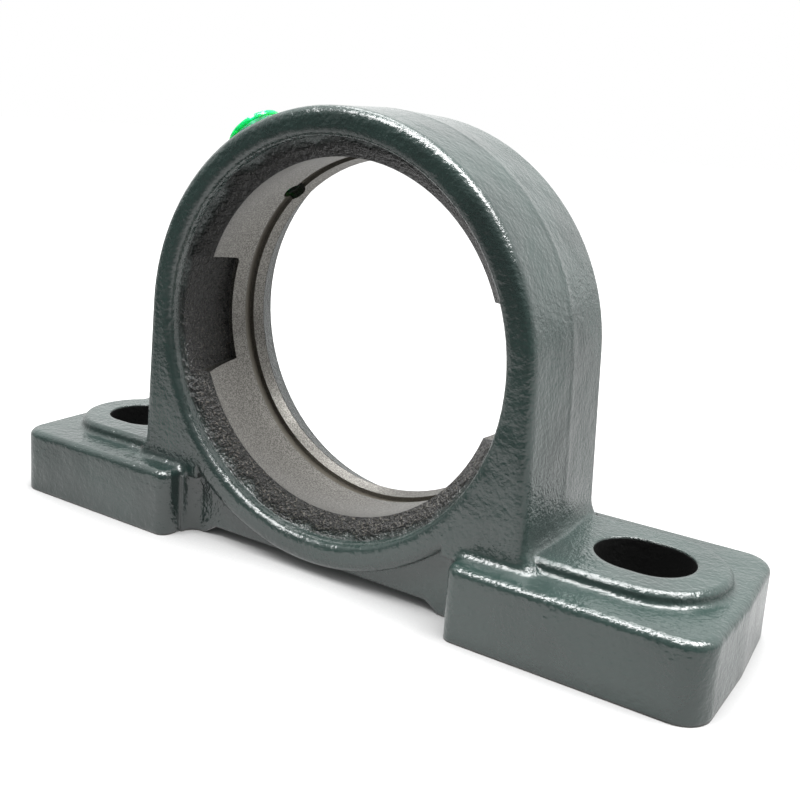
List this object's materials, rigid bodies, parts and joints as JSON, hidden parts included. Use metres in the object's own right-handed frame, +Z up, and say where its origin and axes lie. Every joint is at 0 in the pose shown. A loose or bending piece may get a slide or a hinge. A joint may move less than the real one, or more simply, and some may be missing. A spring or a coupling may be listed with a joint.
{
  "type": "pillow block bearing housing",
  "caption": "Cast iron pillow block housing without its bearing: round body with a spherical seat on slotted feet, and a slotted plastic plug in the grease hole.",
  "frame": {"origin": "middle of the flat underside of the feet", "axes": "+X along the feet, +Y along the shaft away from the face with the loading slots, +Z up"},
  "size_m": [0.265, 0.072, 0.15],
  "materials": {
    "housing": "grey-green gloss enamel outside, bare machined iron in the seat",
    "plug": "emerald green moulded plastic"
  },
  "bodies": {
    "root": {"housing": "housing", "grease_plug": "plug"}
  },
  "joints": []
}
